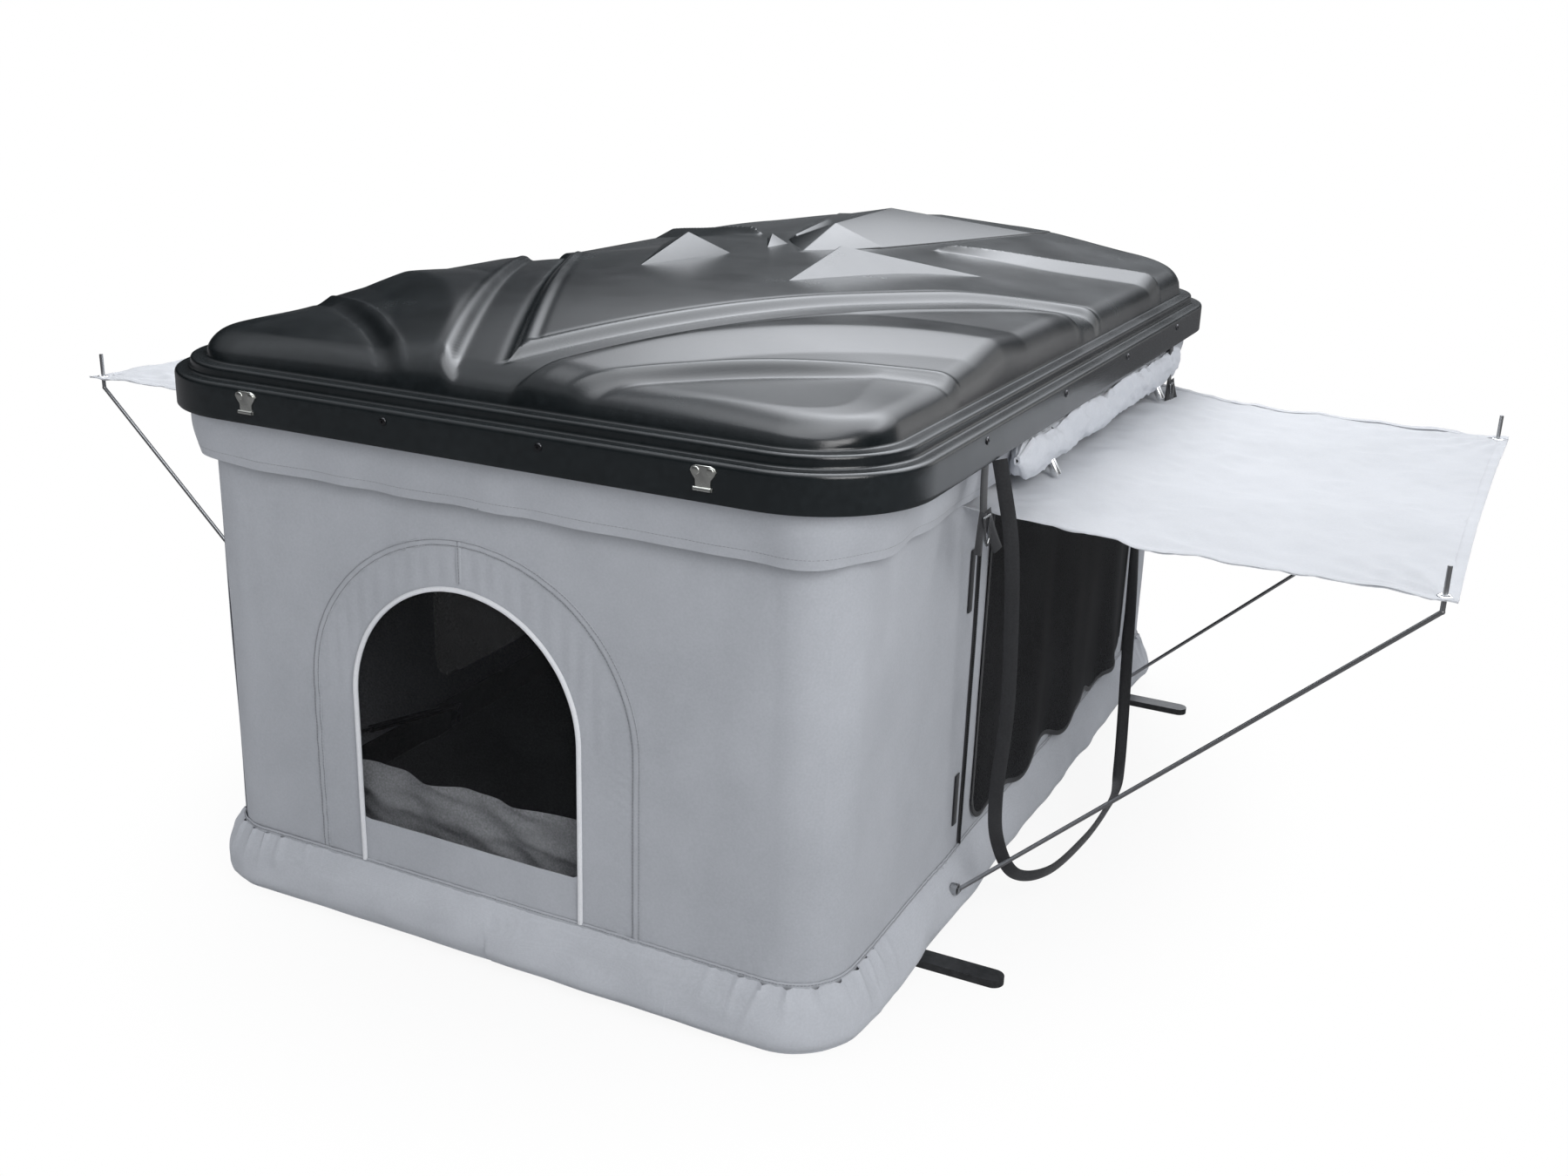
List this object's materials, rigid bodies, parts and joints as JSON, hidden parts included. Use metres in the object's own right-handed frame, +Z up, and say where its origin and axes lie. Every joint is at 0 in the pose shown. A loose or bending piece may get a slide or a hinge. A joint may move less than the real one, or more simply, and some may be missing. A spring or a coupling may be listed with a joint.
{
  "type": "roof top tent",
  "caption": "Pop-up hard-shell roof top tent, open: moulded black lid on folding arms, grey canvas walls, mesh door and window, side awnings on prop rods and mounting rails.",
  "frame": {"origin": "middle of the object's box, at the underside of the mounting rails", "axes": "+X to the right-hand side with the pull strap, across the vehicle; +Y from the front end to the rear; +Z up"},
  "size_m": [2.816, 2.11, 1.1694],
  "materials": {
    "shell_plastic": "textured moulded",
    "liner_fabric": "felt",
    "frame_alloy": "mill",
    "seal_rubber": "matte",
    "screw_steel": "black",
    "keeper_chrome": "polished",
    "bracket_steel": "zinc",
    "strut_black": "gloss",
    "strut_chrome": "polished",
    "rod_steel": "drawn",
    "rail_black": "satin",
    "tray_plastic": "moulded",
    "floor_wood": "ply",
    "mattress_fabric": "woven",
    "eyelet_metal": "polished",
    "canvas_grey": "coated canvas",
    "mesh_black": "fine net",
    "piping_white": "tape",
    "canvas_pale": "coated canvas",
    "webbing_black": "woven webbing"
  },
  "bodies": {
    "base": {"mount_rail_front": "rail_black", "mount_rail_rear": "rail_black", "base_tray": "tray_plastic", "floor_board": "floor_wood", "mattress": "mattress_fabric", "lower_brackets": "bracket_steel", "strut_blocks": "bracket_steel", "rod_sockets": "eyelet_metal", "skirt": "canvas_grey", "wall_front": "canvas_grey", "wall_rear": "canvas_grey", "wall_left": "canvas_grey", "wall_right": "canvas_grey", "mesh_front": "mesh_black", "mesh_rear": "mesh_black", "mesh_left": "mesh_black", "mesh_right": "mesh_black", "piping_front": "piping_white", "piping_rear": "piping_white", "pull_strap": "webbing_black"},
    "shell": {"top_shell": "shell_plastic", "shell_liner": "liner_fabric", "shell_frame": "frame_alloy", "rim_seal": "seal_rubber", "rim_screws": "screw_steel", "latch_keepers": "keeper_chrome", "upper_brackets": "bracket_steel", "valance": "canvas_grey", "roll_right": "canvas_pale", "roll_left": "canvas_pale", "roll_toggles": "keeper_chrome", "awning_right": "canvas_pale", "awning_left": "canvas_pale", "hook_straps": "webbing_black"},
    "lower_arm_fr": {"lower_arm_fr": "bracket_steel"},
    "lower_arm_fl": {"lower_arm_fl": "bracket_steel"},
    "lower_arm_rr": {"lower_arm_rr": "bracket_steel"},
    "lower_arm_rl": {"lower_arm_rl": "bracket_steel"},
    "upper_arm_fr": {"upper_arm_fr": "bracket_steel"},
    "upper_arm_fl": {"upper_arm_fl": "bracket_steel"},
    "upper_arm_rr": {"upper_arm_rr": "bracket_steel"},
    "upper_arm_rl": {"upper_arm_rl": "bracket_steel"},
    "strut_tube_fr": {"strut_tube_fr": "strut_black"},
    "strut_tube_fl": {"strut_tube_fl": "strut_black"},
    "strut_tube_rr": {"strut_tube_rr": "strut_black"},
    "strut_tube_rl": {"strut_tube_rl": "strut_black"},
    "strut_rod_fr": {"strut_rod_fr": "strut_chrome"},
    "strut_rod_fl": {"strut_rod_fl": "strut_chrome"},
    "strut_rod_rr": {"strut_rod_rr": "strut_chrome"},
    "strut_rod_rl": {"strut_rod_rl": "strut_chrome"},
    "prop_rod_fr": {"prop_rod_fr": "rod_steel"},
    "prop_rod_fl": {"prop_rod_fl": "rod_steel"},
    "prop_rod_rr": {"prop_rod_rr": "rod_steel"},
    "prop_rod_rl": {"prop_rod_rl": "rod_steel"}
  },
  "joints": [
    {"name": "lift", "type": "hinge", "parent": "base", "child": "lower_arm_fr", "pos_m": [0.595, -0.85, 0.1275], "axis": [-1, 0, 0], "range_deg": [0, 75.6], "stiffness_Nm_per_rad": 45, "springref_deg": -80.21, "deforming": ["wall_front", "wall_rear", "wall_left", "wall_right", "mesh_front", "mesh_rear", "mesh_left", "mesh_right", "piping_front", "piping_rear", "skirt", "valance", "roll_right", "roll_left", "awning_right", "awning_left", "pull_strap"]},
    {"name": "knee_fr", "type": "hinge", "parent": "lower_arm_fr", "child": "upper_arm_fr", "pos_m": [0.589, -0.76684, 0.51875], "axis": [1, 0, 0], "range_deg": [0, 151.2]},
    {"name": "shell_level", "type": "hinge", "parent": "upper_arm_fr", "child": "shell", "pos_m": [0.589, -0.85, 0.91], "axis": [-1, 0, 0], "range_deg": [0, 75.6]},
    {"name": "arm_rr", "type": "hinge", "parent": "base", "child": "lower_arm_rr", "pos_m": [0.595, 0.85, 0.1275], "axis": [1, 0, 0], "range_deg": [0, 75.6]},
    {"name": "knee_rr", "type": "hinge", "parent": "lower_arm_rr", "child": "upper_arm_rr", "pos_m": [0.589, 0.76684, 0.51875], "axis": [-1, 0, 0], "range_deg": [0, 151.2]},
    {"name": "arm_fl", "type": "hinge", "parent": "base", "child": "lower_arm_fl", "pos_m": [-0.595, -0.85, 0.1275], "axis": [-1, 0, 0], "range_deg": [0, 75.6]},
    {"name": "knee_fl", "type": "hinge", "parent": "lower_arm_fl", "child": "upper_arm_fl", "pos_m": [-0.589, -0.76684, 0.51875], "axis": [1, 0, 0], "range_deg": [0, 151.2]},
    {"name": "arm_rl", "type": "hinge", "parent": "base", "child": "lower_arm_rl", "pos_m": [-0.595, 0.85, 0.1275], "axis": [1, 0, 0], "range_deg": [0, 75.6]},
    {"name": "knee_rl", "type": "hinge", "parent": "lower_arm_rl", "child": "upper_arm_rl", "pos_m": [-0.589, 0.76684, 0.51875], "axis": [-1, 0, 0], "range_deg": [0, 151.2]},
    {"name": "strut_turn_fr", "type": "hinge", "parent": "base", "child": "strut_tube_fr", "pos_m": [0.6065, -0.3, 0.1], "axis": [1, 0, 0], "range_deg": [0, 7]},
    {"name": "strut_slide_fr", "type": "slide", "parent": "strut_tube_fr", "child": "strut_rod_fr", "axis": [0, 0.9827, -0.1855], "range_m": [0, 0.0678]},
    {"name": "strut_turn_rr", "type": "hinge", "parent": "base", "child": "strut_tube_rr", "pos_m": [0.6065, 0.3, 0.1], "axis": [-1, 0, 0], "range_deg": [0, 7]},
    {"name": "strut_slide_rr", "type": "slide", "parent": "strut_tube_rr", "child": "strut_rod_rr", "axis": [0, -0.9827, -0.1855], "range_m": [0, 0.0678]},
    {"name": "strut_turn_fl", "type": "hinge", "parent": "base", "child": "strut_tube_fl", "pos_m": [-0.6065, -0.3, 0.1], "axis": [1, 0, 0], "range_deg": [0, 7]},
    {"name": "strut_slide_fl", "type": "slide", "parent": "strut_tube_fl", "child": "strut_rod_fl", "axis": [0, 0.9827, -0.1855], "range_m": [0, 0.0678]},
    {"name": "strut_turn_rl", "type": "hinge", "parent": "base", "child": "strut_tube_rl", "pos_m": [-0.6065, 0.3, 0.1], "axis": [-1, 0, 0], "range_deg": [0, 7]},
    {"name": "strut_slide_rl", "type": "slide", "parent": "strut_tube_rl", "child": "strut_rod_rl", "axis": [0, -0.9827, -0.1855], "range_m": [0, 0.0678]},
    {"name": "rod_swing_fr", "type": "hinge", "parent": "base", "child": "prop_rod_fr", "pos_m": [0.662, -0.491, 0.085], "axis": [0, 1, 0], "range_deg": [0, 46]},
    {"name": "rod_swing_rr", "type": "hinge", "parent": "base", "child": "prop_rod_rr", "pos_m": [0.662, 0.7, 0.085], "axis": [0, 1, 0], "range_deg": [0, 46]},
    {"name": "rod_swing_fl", "type": "hinge", "parent": "base", "child": "prop_rod_fl", "pos_m": [-0.662, -0.491, 0.085], "axis": [0, -1, 0], "range_deg": [0, 46]},
    {"name": "rod_swing_rl", "type": "hinge", "parent": "base", "child": "prop_rod_rl", "pos_m": [-0.662, 0.7, 0.085], "axis": [0, -1, 0], "range_deg": [0, 46]}
  ],
  "couplings": [
    {"joint": "knee_fr", "follows": "lift", "ratio": 2},
    {"joint": "shell_level", "follows": "lift", "ratio": 1},
    {"joint": "arm_rr", "follows": "lift", "ratio": 1},
    {"joint": "knee_rr", "follows": "lift", "ratio": 2},
    {"joint": "arm_fl", "follows": "lift", "ratio": 1},
    {"joint": "knee_fl", "follows": "lift", "ratio": 2},
    {"joint": "arm_rl", "follows": "lift", "ratio": 1},
    {"joint": "knee_rl", "follows": "lift", "ratio": 2},
    {"joint": "strut_turn_fr", "follows": "lift", "ratio": 0.092561},
    {"joint": "strut_slide_fr", "follows": "lift", "m_per_rad": 0.051376},
    {"joint": "strut_turn_rr", "follows": "lift", "ratio": 0.092561},
    {"joint": "strut_slide_rr", "follows": "lift", "m_per_rad": 0.051376},
    {"joint": "strut_turn_fl", "follows": "lift", "ratio": 0.092561},
    {"joint": "strut_slide_fl", "follows": "lift", "m_per_rad": 0.051376},
    {"joint": "strut_turn_rl", "follows": "lift", "ratio": 0.092561},
    {"joint": "strut_slide_rl", "follows": "lift", "m_per_rad": 0.051376},
    {"joint": "rod_swing_fr", "follows": "lift", "ratio": 0.60847},
    {"joint": "rod_swing_rr", "follows": "lift", "ratio": 0.60847},
    {"joint": "rod_swing_fl", "follows": "lift", "ratio": 0.60847},
    {"joint": "rod_swing_rl", "follows": "lift", "ratio": 0.60847}
  ]
}
